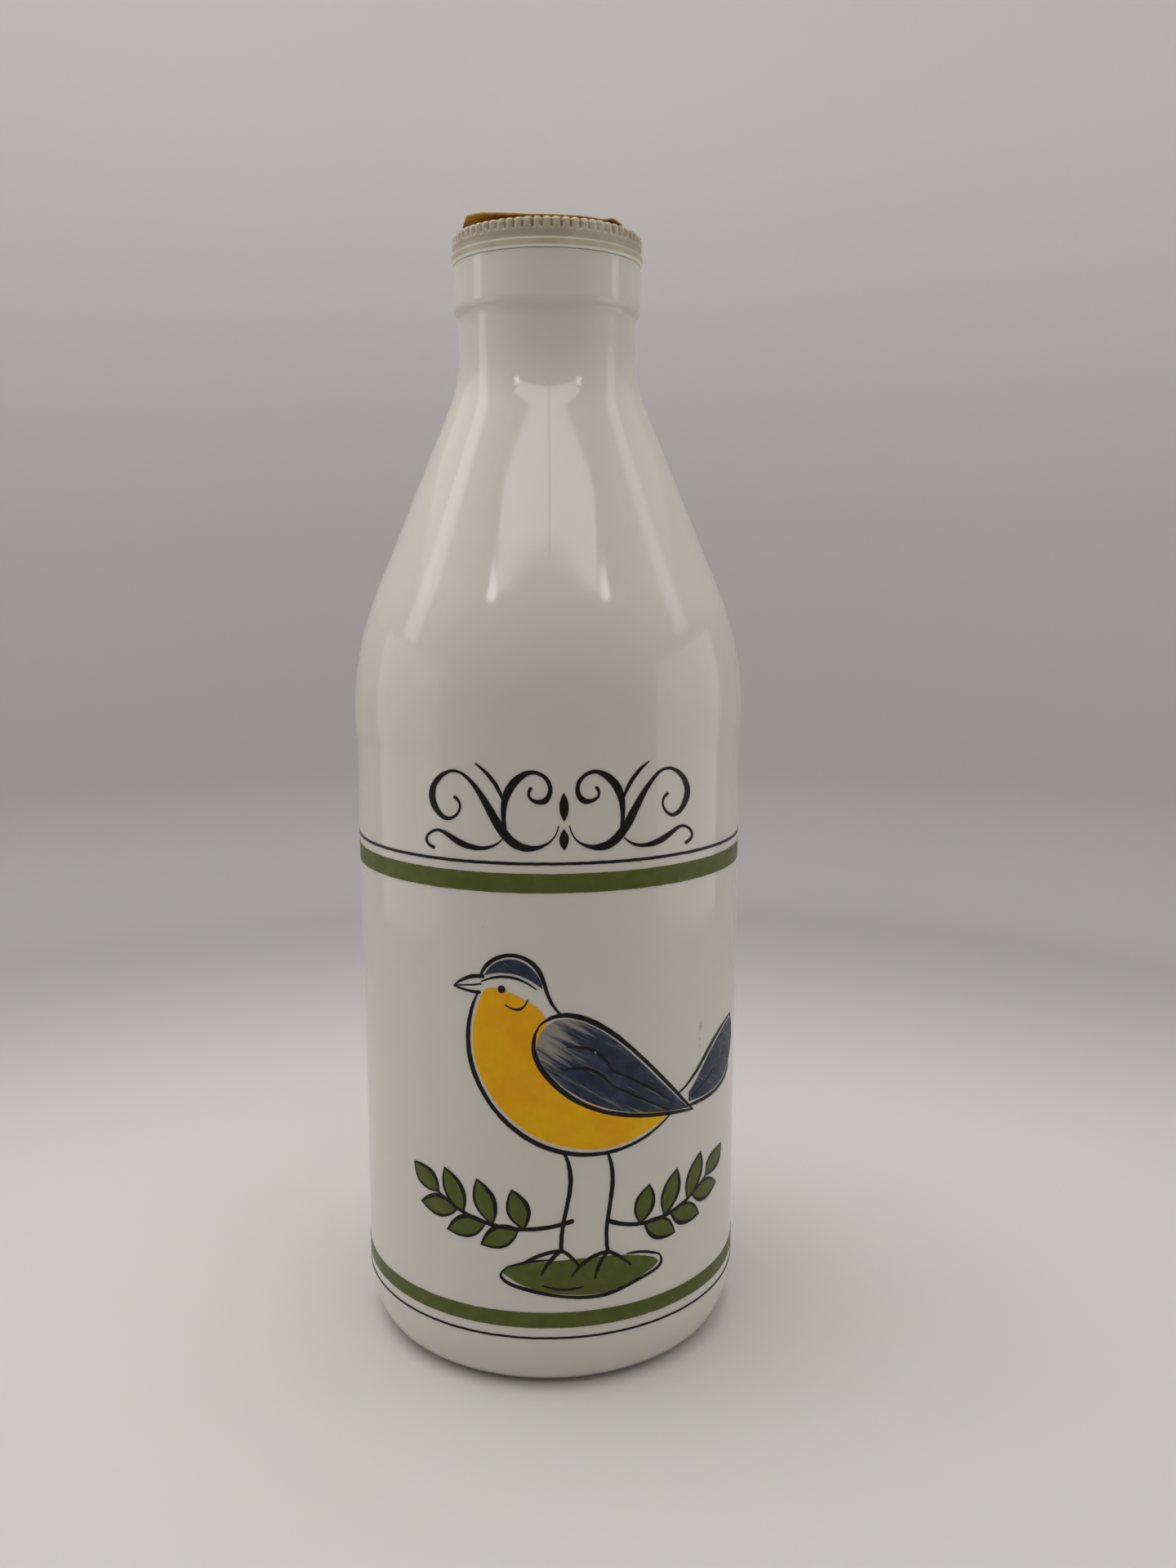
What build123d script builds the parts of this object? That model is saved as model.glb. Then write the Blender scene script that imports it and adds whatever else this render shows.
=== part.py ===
from build123d import *
from math import atan2, cos, degrees, pi, radians, sin, tan
import os

# A one-litre opal glass milk bottle with a push-in stopper and a fired enamel print.
# Millimetres, +Z up. The origin is on the bottle's axis, on the surface it stands on.
# The print faces -Y.

# Glass, outside
BODY_R = 45.0            # printed wall, a true cylinder
CONTACT_R = 45.4         # slightly proud ring where bottles touch on a line
BASE_RING_R = 34.5       # inner edge of the ring that the bottle stands on
PUSH_UP = 3.4            # height of the hollow under the base
PUSH_UP_R = 24.0         # where the hollow's top starts to slope down to the ring
HEEL_TURN = 25.0         # degrees turned by the upper of the heel's two arcs
HEEL_UPPER_R = 22.0
HEEL_LOWER_R = 6.0
HEEL_STRAIGHT = 0.05     # left between the heel's two arcs
PANEL_TOP = 141.2        # end of the printed wall
CONTACT_START = 144.6
SHOULDER_CORNER = 162.1  # where the wall and the shoulder's cone would cross
SHOULDER_R = 72.0
SHOULDER_SLOPE = 22.9    # degrees of the cone from the axis
NECK_R = 20.15
NECK_BEND_R = 32.0
COLLAR_R = 21.2
COLLAR_BOTTOM = 236.0
COLLAR_STEP = 1.4        # height of the slope under the collar
COLLAR_BEND_R = 2.2      # rounding above and below that slope
LIP_Z = 247.3            # top of the glass
LIP_R = 0.5              # rounding of its outer edge

# Glass, inside
WALL = 3.5
BASE_WALL = 4.6
MOUTH_R = 17.65          # bore that the stopper plugs
MOUTH_DEPTH = 14.5
THROAT_STEP = 1.5        # height of the slope under the mouth
THROAT_R = 16.9          # bore of the neck below the mouth

# Stopper
CAP_TOP = 253.6
CAP_R = 21.65            # smooth band
CAP_BAND_TOP = 249.1
CAP_WAIST_R = 21.1       # between the band and the ribs
CAP_RIB_FOOT_R = 20.75   # wall that the ribs stand on
CAP_RIB_BOTTOM = 251.2
CAP_BEVEL = 0.5          # round the top edge
CAP_STEP = 0.35          # height of the slopes above and below the waist
RIB_COUNT = 64
RIB_R = 0.5
RIB_ROOT = 0.3           # how far a rib runs down into the waist
PLUG_R = 17.3
PLUG_WALL = 1.5
PLUG_BOTTOM = 234.6
PLUG_LEAD = (0.7, 1.2)   # bevel that guides the plug in: width and height
SEAL_R = 17.58           # two sealing beads, which fill the mouth
SEAL_BEAD_R = 0.6
SEAL_Z = (237.6, 242.8)
CAP_PLATE = 2.2          # thickness of the stopper's top

# Brown disc stuck on the stopper
DISC_R = 20.6
DISC_T = 0.4
DISC_FLAT = 11.0         # from the axis to where it starts to lift
DISC_CURL_R = 25.0
DISC_MARGIN = 3.0        # sheet left over all round, before the outline is cut
DISC_TORN_R = 4.0        # rounding of the torn edge
DISC_CURL_HEADING = -150.0  # degrees from +X, towards the lifted edge
DISC_TORN_EDGE = ((15.0, -21.0), (16.2, -13.4), (17.4, -7.0), (18.2, 1.0), (23.0, 9.0))

# Enamel
ENAMEL = 0.08            # thickness of a fired layer
PRINT_START = 8.0        # the artwork's sketches lie this far in front of the axis
LOWER_LINE = (12.95, 13.45)
LOWER_BAND = (15.6, 19.2)
UPPER_BAND = (113.4, 117.5)
UPPER_LINE = (119.3, 119.95)
SCROLL_CENTRE = 3.0      # the ornament's middle, along the wall from the front
LEAF_BELLY = 0.45        # where a leaf is widest, from its root to its tip


def save(part, name):
    """Label a finished piece and write it as its own file."""
    part.label = name
    export_step(part, f"parts/{name}.step")


def cone_corner(radius, wall):
    """Height where the shoulder's cone, set in by wall, would meet a cylinder of this radius."""
    slope = radians(SHOULDER_SLOPE)
    return SHOULDER_CORNER + (CONTACT_R - wall / cos(slope) - radius) / tan(slope)


def bottle_profile():
    """Corners of the glass section as (radius, height, rounding), from the base hollow to the inside."""
    heel = radians(HEEL_TURN)
    heel_run = HEEL_UPPER_R * tan(heel / 2) + HEEL_LOWER_R * tan((pi / 2 - heel) / 2) + HEEL_STRAIGHT
    inner_r = BODY_R - WALL
    return [
        (PUSH_UP_R, PUSH_UP, 30.0),
        (BASE_RING_R, 0.0, 6.0),
        (BODY_R - heel_run * sin(heel), 0.0, HEEL_LOWER_R),
        (BODY_R, heel_run * cos(heel), HEEL_UPPER_R),
        (BODY_R, PANEL_TOP, 20.0),
        (CONTACT_R, CONTACT_START, 20.0),
        (CONTACT_R, SHOULDER_CORNER, SHOULDER_R),
        (NECK_R, cone_corner(NECK_R, 0.0), NECK_BEND_R),
        (NECK_R, COLLAR_BOTTOM, COLLAR_BEND_R),
        (COLLAR_R, COLLAR_BOTTOM + COLLAR_STEP, COLLAR_BEND_R),
        (COLLAR_R, LIP_Z, LIP_R),
        (MOUTH_R, LIP_Z, 0.9),
        (MOUTH_R, LIP_Z - MOUTH_DEPTH, 1.5),
        (THROAT_R, LIP_Z - MOUTH_DEPTH - THROAT_STEP, 1.5),
        (THROAT_R, cone_corner(THROAT_R, WALL), NECK_BEND_R + WALL),
        (inner_r, cone_corner(inner_r, WALL), SHOULDER_R - WALL),
        (inner_r, BASE_WALL, 10.0),
    ]


def stopper_profile():
    """Corners of the stopper's section as (radius, height, rounding), from its top to its hollow plug."""
    lead_width, lead_height = PLUG_LEAD
    return [
        (CAP_RIB_FOOT_R - CAP_BEVEL, CAP_TOP, 0.2),
        (CAP_RIB_FOOT_R, CAP_TOP - CAP_BEVEL, 0.2),
        (CAP_RIB_FOOT_R, CAP_RIB_BOTTOM, 0.2),
        (CAP_WAIST_R, CAP_RIB_BOTTOM - CAP_STEP, 0.2),
        (CAP_WAIST_R, CAP_BAND_TOP + CAP_STEP, 0.2),
        (CAP_R, CAP_BAND_TOP, 0.2),
        (CAP_R, LIP_Z, 0.6),
        (PLUG_R, LIP_Z, 0.2),
        (PLUG_R, PLUG_BOTTOM + lead_height, 0.5),
        (PLUG_R - lead_width, PLUG_BOTTOM, 0.2),
        (PLUG_R - PLUG_WALL, PLUG_BOTTOM, 0.2),
        (PLUG_R - PLUG_WALL, CAP_TOP - CAP_PLATE, 0.8),
    ]


def section(top, corners, bottom):
    """Add a section from one height on the axis to another, through rounded corners."""
    with BuildLine() as outline:
        edge = FilletPolyline(
            (0, top),
            *[(radius, height) for radius, height, rounding in corners],
            (0, bottom),
            radius=[rounding for radius, height, rounding in corners],
        )
        Line(edge @ 1, edge @ 0)
    make_face(outline.line)


def on_glass(along, height):
    """Sketch point that lands this far along the printed wall from the front, at this height."""
    return (BODY_R * sin(along / BODY_R), height)


def curve(points):
    """Add a line or a smooth curve through points on the wall."""
    flat = [on_glass(*point) for point in points]
    return Line(*flat) if len(flat) == 2 else Spline(*flat)


def fill(*edges):
    """Add a filled shape, whose edges follow one another."""
    with BuildLine() as outline:
        for edge in edges:
            curve(edge)
    make_face(outline.line)


def blob(*points):
    """Add a filled shape with one smooth closed edge."""
    with BuildLine() as outline:
        Spline(*[on_glass(*point) for point in points], periodic=True)
    make_face(outline.line)


def brush(points, widths):
    """Add a brush stroke along points, as wide as widths, with a round end where it isn't thin."""
    sides = ([], [])
    steps = []
    for i, (point, width) in enumerate(zip(points, widths)):
        before = points[max(i - 1, 0)]
        after = points[min(i + 1, len(points) - 1)]
        run = Vector(after[0] - before[0], after[1] - before[1]).normalized()
        steps.append(run * (width / 2))
        for side, sign in zip(sides, (1, -1)):
            side.append((point[0] - sign * run.Y * width / 2, point[1] + sign * run.X * width / 2))
    first = (points[0][0] - steps[0].X, points[0][1] - steps[0].Y)
    last = (points[-1][0] + steps[-1].X, points[-1][1] + steps[-1].Y)
    with BuildLine() as outline:
        curve(sides[0])
        ThreePointArc(*[on_glass(*point) for point in (sides[0][-1], last, sides[1][-1])])
        curve(list(reversed(sides[1])))
        ThreePointArc(*[on_glass(*point) for point in (sides[1][0], first, sides[0][0])])
    make_face(outline.line)


def leaflet_edge(root, tip, bulge):
    """Three points of a leaf's edge from root to tip, bowed to the left by bulge."""
    run = Vector(tip[0] - root[0], tip[1] - root[1])
    side = Vector(-run.Y, run.X).normalized() * bulge
    middle = (root[0] + run.X * LEAF_BELLY + side.X, root[1] + run.Y * LEAF_BELLY + side.Y)
    return [root, middle, tip]


def leaflet(root, tip, width):
    """Add a pointed leaf."""
    edge = leaflet_edge(root, tip, width / 2)
    fill(edge, list(reversed(leaflet_edge(root, tip, -width / 2))))


os.makedirs("parts", exist_ok=True)

# Glass bottle: one section turned about the axis
with BuildPart() as glass_bottle:
    with BuildSketch(Plane.XZ):
        section(PUSH_UP, bottle_profile(), BASE_WALL + PUSH_UP)
    revolve(axis=Axis.Z)
save(glass_bottle.part, "glass_bottle")

# Stopper: band, ribs, top plate and a hollow plug with sealing beads
with BuildPart() as stopper:
    with BuildSketch(Plane.XZ):
        section(CAP_TOP, stopper_profile(), CAP_TOP - CAP_PLATE)
        with Locations(*[(SEAL_R - SEAL_BEAD_R, height) for height in SEAL_Z]):
            Circle(SEAL_BEAD_R)
    revolve(axis=Axis.Z)
    with BuildSketch(Plane.XY.offset(CAP_RIB_BOTTOM - RIB_ROOT)):
        with PolarLocations(CAP_RIB_FOOT_R, RIB_COUNT):
            Circle(RIB_R)
    extrude(amount=CAP_TOP - CAP_BEVEL - CAP_RIB_BOTTOM + RIB_ROOT)
save(stopper.part, "stopper")

# Brown disc: a flat sheet that bends up towards one edge, cut to its outline
curl_heading = Vector(cos(radians(DISC_CURL_HEADING)), sin(radians(DISC_CURL_HEADING)))
curl_turn = degrees(atan2(DISC_R + DISC_MARGIN - DISC_FLAT, DISC_CURL_R))
flat_start = -DISC_R - DISC_MARGIN
with BuildPart() as top_disc:
    with BuildSketch(Plane((0, 0, CAP_TOP), x_dir=curl_heading, z_dir=curl_heading.cross(Vector(0, 0, 1)))):
        with BuildLine():
            lower = Line((flat_start, 0), (DISC_FLAT, 0))
            lower_curl = JernArc(lower @ 1, (1, 0), DISC_CURL_R, curl_turn)
            upper = Line((flat_start, DISC_T), (DISC_FLAT, DISC_T))
            upper_curl = JernArc(upper @ 1, (1, 0), DISC_CURL_R - DISC_T, curl_turn)
            Line(lower @ 0, upper @ 0)
            Line(lower_curl @ 1, upper_curl @ 1)
        make_face()
    extrude(amount=DISC_R + DISC_MARGIN, both=True)
    with BuildSketch(Plane.XY.offset(CAP_TOP)):
        Circle(DISC_R)
        with BuildLine():
            FilletPolyline(*DISC_TORN_EDGE, radius=DISC_TORN_R, close=False)
            Polyline(DISC_TORN_EDGE[-1], (2 * DISC_R, -2 * DISC_R), DISC_TORN_EDGE[0])
        make_face(mode=Mode.SUBTRACT)
    extrude(amount=DISC_R, mode=Mode.INTERSECT)
save(top_disc.part, "top_disc")


# Enamel
def enamel_tube(bottom, top):
    """A fired layer right round the printed wall, between two heights."""
    with BuildPart() as tube:
        with BuildSketch(Plane.XY.offset(bottom)):
            Circle(BODY_R + ENAMEL)
            Circle(BODY_R, mode=Mode.SUBTRACT)
        extrude(amount=top - bottom)
    return tube.part


def printed(drawing, name, keep_clear=None):
    """Write the enamel of a drawing, left open where another drawing is printed."""
    with BuildPart() as layer:
        with BuildSketch(Plane.XZ.offset(PRINT_START)):
            add(drawing)
            if keep_clear:
                add(keep_clear, mode=Mode.SUBTRACT)
        extrude(amount=BODY_R)
        add(enamel_tube(0, PANEL_TOP), mode=Mode.INTERSECT)
    save(layer.part, name)


save(enamel_tube(*LOWER_LINE), "lower_black_line")
save(enamel_tube(*LOWER_BAND), "lower_green_band")
save(enamel_tube(*UPPER_BAND), "upper_green_band")
save(enamel_tube(*UPPER_LINE), "upper_black_line")

# Scroll ornament: one half, drawn outwards from its middle, and the same half mirrored
SCROLL_STROKES = [
    # long scroll: low at the middle, over the top, and into a curl at its outer end
    (
        [(1.2, 127.5), (4.0, 123.6), (9.0, 123.2), (14.0, 128.0), (18.5, 135.2), (23.5, 138.6),
         (28.2, 136.0), (28.6, 130.8), (25.0, 128.4), (22.4, 130.6), (23.4, 133.0)],
        [0.3, 0.6, 1.7, 2.0, 1.1, 0.6, 1.3, 1.6, 0.8, 0.5, 0.9],
    ),
    # inner scroll: rises from the long one and curls in towards the middle
    (
        [(11.6, 125.0), (12.6, 131.0), (10.4, 136.6), (6.0, 138.8), (2.9, 136.0), (4.2, 132.8),
         (7.0, 133.4), (6.9, 135.4)],
        [0.3, 1.2, 1.7, 0.8, 0.9, 1.2, 0.6, 0.8],
    ),
    # tail along the line below, with a small curl
    (
        [(13.0, 124.6), (18.5, 122.6), (24.0, 124.2), (28.5, 125.6), (31.0, 123.6), (29.2, 121.9)],
        [0.3, 1.0, 1.3, 0.6, 0.7, 0.9],
    ),
    # spur above the inner scroll
    ([(12.4, 132.0), (14.6, 136.6), (18.6, 140.4)], [0.3, 0.9, 0.3]),
]
with BuildSketch() as scroll:
    for mirrored in (1, -1):
        for points, widths in SCROLL_STROKES:
            brush([(SCROLL_CENTRE + mirrored * along, height) for along, height in points], widths)
    for root, tip in (((0, 128.5), (0, 134.6)), ((0, 127.0), (0, 122.4))):
        leaflet((SCROLL_CENTRE, root[1]), (SCROLL_CENTRE, tip[1]), 2.0)
printed(scroll.sketch, "scroll_ornament")

# Songbird: black drawing
BIRD_STROKES = [
    # crown and nape, and on down the back
    ([(-15.2, 94.6), (-12.6, 98.4), (-7.6, 99.9), (-2.8, 97.2), (-0.6, 91.6), (2.6, 86.9)],
     [0.4, 0.9, 0.8, 1.0, 0.8, 0.4]),
    # throat, breast and belly
    ([(-15.6, 91.6), (-17.8, 85.0), (-17.6, 76.0), (-12.6, 66.0), (-3.6, 58.6), (8.0, 55.4),
      (19.0, 56.6), (28.0, 61.0)],
     [0.4, 0.9, 1.1, 1.0, 1.1, 0.9, 0.7, 0.4]),
    # beak, upper and lower
    ([(-14.6, 95.0), (-18.0, 94.4), (-21.4, 92.2)], [0.9, 0.8, 0.3]),
    ([(-15.4, 91.4), (-18.2, 91.5), (-21.4, 92.2)], [0.7, 0.6, 0.3]),
    ([(-15.0, 93.2), (-21.0, 92.3)], [0.4, 0.3]),
    # wing: shoulder and upper edge, then the lower edge
    ([(-2.4, 84.6), (2.6, 86.9), (9.6, 84.8), (18.6, 77.6), (26.6, 69.4), (35.4, 60.4)],
     [0.4, 1.0, 1.2, 0.9, 0.9, 0.4]),
    ([(-2.4, 84.6), (-3.4, 78.4), (1.0, 71.4), (9.6, 65.6), (20.4, 62.6), (35.4, 60.4)],
     [0.4, 1.1, 1.2, 1.0, 1.0, 0.4]),
    # wing: feathers
    ([(3.4, 79.8), (9.4, 78.6), (13.4, 73.8)], [0.3, 0.8, 0.3]),
    ([(2.4, 74.8), (8.4, 74.6), (13.4, 70.4)], [0.3, 0.8, 0.3]),
    ([(13.4, 73.8), (20.6, 69.8), (29.4, 63.6)], [0.3, 0.7, 0.3]),
    ([(13.4, 70.4), (19.6, 67.0), (27.4, 62.6)], [0.3, 0.6, 0.3]),
    # tail
    ([(30.6, 65.4), (38.0, 70.0), (46.0, 75.4), (54.2, 77.4)], [0.4, 0.9, 0.9, 0.4]),
    ([(54.2, 77.4), (55.6, 71.6), (53.2, 66.4)], [0.4, 0.9, 0.4]),
    ([(33.0, 61.6), (42.0, 61.6), (50.0, 63.0), (53.2, 66.4)], [0.4, 0.9, 0.9, 0.4]),
    ([(35.0, 63.6), (44.0, 67.4), (52.4, 72.6)], [0.4, 0.7, 0.3]),
    # eye line and cheek
    ([(-14.8, 93.8), (-9.4, 95.2), (-3.0, 92.6)], [0.3, 0.6, 0.3]),
    ([(-9.6, 89.0), (-6.6, 88.2), (-4.8, 90.2)], [0.3, 0.6, 0.3]),
    # legs
    ([(2.6, 56.4), (4.2, 50.0), (3.0, 42.0), (2.2, 33.6)], [0.6, 1.0, 0.9, 1.0]),
    ([(12.4, 55.4), (13.6, 49.0), (12.6, 41.0), (12.6, 32.4)], [0.6, 1.0, 0.9, 1.0]),
    # toes
    ([(2.2, 33.8), (-2.6, 32.6), (-6.6, 30.4)], [0.7, 0.9, 0.4]),
    ([(2.2, 33.8), (-0.6, 31.0), (-2.2, 28.2)], [0.7, 0.9, 0.4]),
    ([(2.2, 33.8), (4.4, 32.0), (6.2, 29.6)], [0.7, 0.8, 0.4]),
    ([(12.6, 32.6), (8.0, 31.2), (4.4, 27.6)], [0.7, 0.9, 0.4]),
    ([(12.6, 32.6), (10.4, 29.4), (9.6, 26.6)], [0.7, 0.9, 0.4]),
    ([(12.6, 32.6), (15.6, 30.6), (18.0, 28.4)], [0.7, 0.8, 0.4]),
]
with BuildSketch() as bird_lines:
    for points, widths in BIRD_STROKES:
        brush(points, widths)
    with Locations(on_glass(-10.4, 92.4)):
        Circle(0.85)

with BuildSketch() as bird_fill:
    blob((-14.6, 91.4), (-16.8, 84.6), (-16.6, 76.6), (-11.8, 67.0), (-3.2, 59.8), (8.0, 56.6),
         (18.6, 57.6), (27.0, 61.6), (18.0, 63.6), (7.0, 67.6), (-2.4, 75.6), (-1.0, 86.0), (-7.0, 91.0))

with BuildSketch() as plumage:
    fill([(-14.2, 95.2), (-12.0, 97.9), (-7.6, 99.0), (-3.4, 96.6), (-1.6, 92.6)],
         [(-1.6, 92.6), (-8.4, 95.9), (-14.2, 95.2)])
    fill([(-1.8, 83.6), (2.8, 86.0), (9.2, 84.0), (18.2, 76.8), (26.2, 68.6), (34.0, 61.2)],
         [(34.0, 61.2), (20.6, 63.2), (10.0, 66.4), (1.8, 71.8), (-2.8, 78.2), (-1.8, 83.6)])
    fill([(34.0, 64.6), (39.0, 69.2), (46.4, 74.4), (53.6, 76.4), (54.8, 71.6), (52.6, 66.8)],
         [(52.6, 66.8), (49.4, 63.8), (42.0, 62.4), (34.0, 62.6)],
         [(34.0, 62.6), (34.0, 64.6)])

printed(bird_lines.sketch, "bird_outline")
printed(bird_fill.sketch, "bird_yellow", bird_lines.sketch + plumage.sketch)
printed(plumage.sketch, "bird_blue", bird_lines.sketch)


def sprig(stem, leaves, width):
    """Green and black drawings of a leafy twig: its stem, and its leaves from root to tip."""
    with BuildSketch() as black:
        brush(stem, [1.1] + [0.9] * (len(stem) - 2) + [0.4])
        for root, tip in leaves:
            brush(leaflet_edge(root, tip, -width / 2), [0.45, 1.0, 0.5])
            brush(leaflet_edge(root, tip, width / 2), [0.35, 0.65, 0.4])
    with BuildSketch() as green:
        for root, tip in leaves:
            leaflet(root, tip, width)
    return black.sketch, green.sketch


left_black, left_green = sprig(
    [(4.4, 40.4), (-6.0, 38.6), (-18.0, 40.2), (-27.0, 44.6)],
    [
        ((-26.4, 44.2), (-33.4, 49.4)),
        ((-20.0, 40.9), (-24.6, 50.2)), ((-13.0, 39.3), (-16.6, 49.0)), ((-6.0, 38.7), (-8.6, 47.4)),
        ((-21.4, 41.4), (-31.4, 40.6)), ((-14.6, 39.4), (-24.0, 36.0)), ((-7.2, 38.6), (-15.6, 34.2)),
    ],
    4.5,
)
right_black, right_green = sprig(
    [(12.8, 39.6), (22.0, 37.4), (32.0, 38.8), (41.6, 43.0)],
    [
        ((41.0, 42.6), (48.6, 47.4)),
        ((34.0, 39.3), (38.6, 49.0)), ((26.8, 37.8), (30.4, 47.6)), ((20.2, 37.7), (22.6, 46.0)),
        ((35.6, 39.9), (46.0, 39.0)), ((28.6, 38.0), (38.2, 34.4)), ((21.4, 37.5), (29.8, 32.8)),
    ],
    4.5,
)
for side, black, green in (("left", left_black, left_green), ("right", right_black, right_green)):
    printed(black, f"{side}_sprig_line", bird_lines.sketch)
    printed(green, f"{side}_sprig_green", black + bird_lines.sketch)

with BuildSketch() as ground_black:
    brush([(-9.6, 29.6), (-11.2, 27.4), (-5.6, 24.6), (3.0, 22.9), (12.6, 22.6), (20.4, 24.6),
           (26.0, 27.0), (25.4, 29.0)],
          [0.4, 0.8, 0.9, 0.7, 0.9, 0.8, 0.9, 0.4])
    brush([(-9.6, 29.6), (-4.0, 31.2), (0.0, 31.6)], [0.4, 0.6, 0.3])
    brush([(25.4, 29.0), (20.6, 30.8), (17.0, 31.2)], [0.4, 0.6, 0.3])
    brush([(-2.0, 25.6), (3.4, 24.6), (7.0, 25.0)], [0.3, 0.6, 0.3])
with BuildSketch() as ground_green:
    blob((-10.4, 27.8), (-4.8, 25.0), (3.6, 23.4), (12.4, 23.1), (20.0, 25.0), (25.0, 27.4),
         (19.0, 30.4), (7.6, 31.6), (-3.6, 30.8))
printed(ground_black.sketch, "ground_line", bird_lines.sketch)
printed(ground_green.sketch, "ground_green", ground_black.sketch + bird_lines.sketch)
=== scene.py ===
from math import atan2, ceil, cos, exp, hypot, pi, radians, sin, tan

import bmesh
import bpy
from mathutils import Matrix, Vector, noise


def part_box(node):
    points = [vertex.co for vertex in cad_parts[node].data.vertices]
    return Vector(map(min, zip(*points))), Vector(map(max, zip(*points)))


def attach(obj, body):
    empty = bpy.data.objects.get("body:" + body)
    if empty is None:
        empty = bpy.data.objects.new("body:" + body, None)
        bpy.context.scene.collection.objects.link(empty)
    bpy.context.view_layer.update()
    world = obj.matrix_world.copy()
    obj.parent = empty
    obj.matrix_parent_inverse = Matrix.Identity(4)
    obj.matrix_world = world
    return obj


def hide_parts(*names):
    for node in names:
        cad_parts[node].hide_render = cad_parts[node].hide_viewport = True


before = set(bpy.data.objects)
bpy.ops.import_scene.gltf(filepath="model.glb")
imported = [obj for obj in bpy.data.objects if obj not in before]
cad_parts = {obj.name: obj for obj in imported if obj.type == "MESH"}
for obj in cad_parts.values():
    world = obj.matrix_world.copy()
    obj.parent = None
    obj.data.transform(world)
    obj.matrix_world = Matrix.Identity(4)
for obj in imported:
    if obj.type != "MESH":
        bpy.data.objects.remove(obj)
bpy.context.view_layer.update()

# noise_vector's offsets are drawn at random, and differ from run to run unless a seed is set.
noise.seed_set(1)

# An opal glass milk bottle with a ribbed push-in stopper, a brown film stuck on top of it, and an
# enamel print. Sizes are in metres and repeat the CAD model's, in the same frame. Angles round the
# bottle start at the front and grow to the right.
MM = 0.001
TURN = 2 * pi

# The glass. A name that ends in BEND_R is the rounding of a corner of the section.
BODY_R = 45.0 * MM
CONTACT_R = 45.4 * MM
NECK_R = 20.15 * MM
COLLAR_R = 21.2 * MM
MOUTH_R = 17.65 * MM
THROAT_R = 16.9 * MM
THROAT_STEP = 1.5 * MM
WALL = 3.5 * MM
BASE_WALL = 4.6 * MM
PUSH_UP = 3.4 * MM       # height of the hollow under the base
HOLLOW_R = 24.0 * MM
HOLLOW_BEND_R = 30.0 * MM
BASE_RING_R = 34.5 * MM
BASE_RING_BEND_R = 6.0 * MM
BASE_INNER_BEND_R = 10.0 * MM
HEEL_TURN = radians(25.0)
HEEL_UPPER_R = 22.0 * MM
HEEL_LOWER_R = 6.0 * MM
HEEL_FLAT = 0.05 * MM    # left between the heel's two arcs
PANEL_TOP = 141.2 * MM
PANEL_BEND_R = 20.0 * MM
CONTACT_START = 144.6 * MM
SHOULDER_CORNER = 162.1 * MM
SHOULDER_R = 72.0 * MM
SHOULDER_SLOPE = radians(22.9)
NECK_BEND_R = 32.0 * MM
COLLAR_BOTTOM = 236.0 * MM
COLLAR_STEP = 1.4 * MM
COLLAR_BEND_R = 2.2 * MM
LIP_R = 0.5 * MM
LIP_INNER_R = 0.9 * MM
MOUTH_DEPTH = 14.5 * MM
LIP_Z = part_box("glass_bottle")[1].z
BOTTLE_SIDES = 360
RIPPLES = (  # amount in mm, waves round the bottle, radians per metre of height, start
    (0.030, 2, 41.0, 0.4), (0.022, 3, -63.0, 2.1), (0.012, 5, 97.0, 4.0), (0.008, 9, -150.0, 1.2),
)
MOULD_SEAM = 0.05 * MM   # the mould's joint stands this far out of the shoulder and neck
MOULD_SEAM_WIDTH = 0.35 * MM
MOULD_SEAM_ANGLE = radians(0.6)

# The enamel print
ENAMEL = 0.08 * MM       # thickness of a fired layer
ENAMEL_ROOT = 0.02 * MM  # how far a layer's underside is sunk in the glass
LAYER_CELL = 1.2 * MM    # size of the cells that a layer is cut into
RAGGED = 0.07 * MM       # how far a layer's edges wander
RAGGED_SCALE = 700       # waves per metre in those edges
BANDS = ("upper_black_line", "upper_green_band", "lower_green_band", "lower_black_line")
DRAWN = (
    "scroll_ornament", "bird_outline", "bird_yellow", "bird_blue", "left_sprig_line",
    "left_sprig_green", "right_sprig_line", "right_sprig_green", "ground_line", "ground_green",
)

# The stopper
CAP_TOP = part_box("stopper")[1].z
CAP_THICK = 2.2 * MM
CAP_R = 21.65 * MM
BAND_TOP = 249.1 * MM
BAND_RISE = 0.35 * MM    # height of the band's sloping top
WAIST_R = 21.1 * MM
RIB_R = 21.35 * MM
RIB_BOTTOM = 250.9 * MM
RIB_FADE = 0.9 * MM      # height over which a rib grows out of the waist
RIB_COUNT = 64
RIB_DEPTH = 0.70 * MM
RIB_REACH = 2.2 * MM     # how far in from the rim the ribs show on top
RIB_SIDES = 10           # faces across each rib
PLUG_R = 17.3 * MM
PLUG_BORE_R = 15.8 * MM
PLUG_BOTTOM = 234.6 * MM
PLUG_TAPER = (0.7 * MM, 1.2 * MM)  # in and up, round its foot
SEAL_R = 17.58 * MM
SEAL_HALF = 0.6 * MM     # half the height of a sealing bead
SEAL_HEIGHTS = (237.6 * MM, 242.8 * MM)

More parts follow.
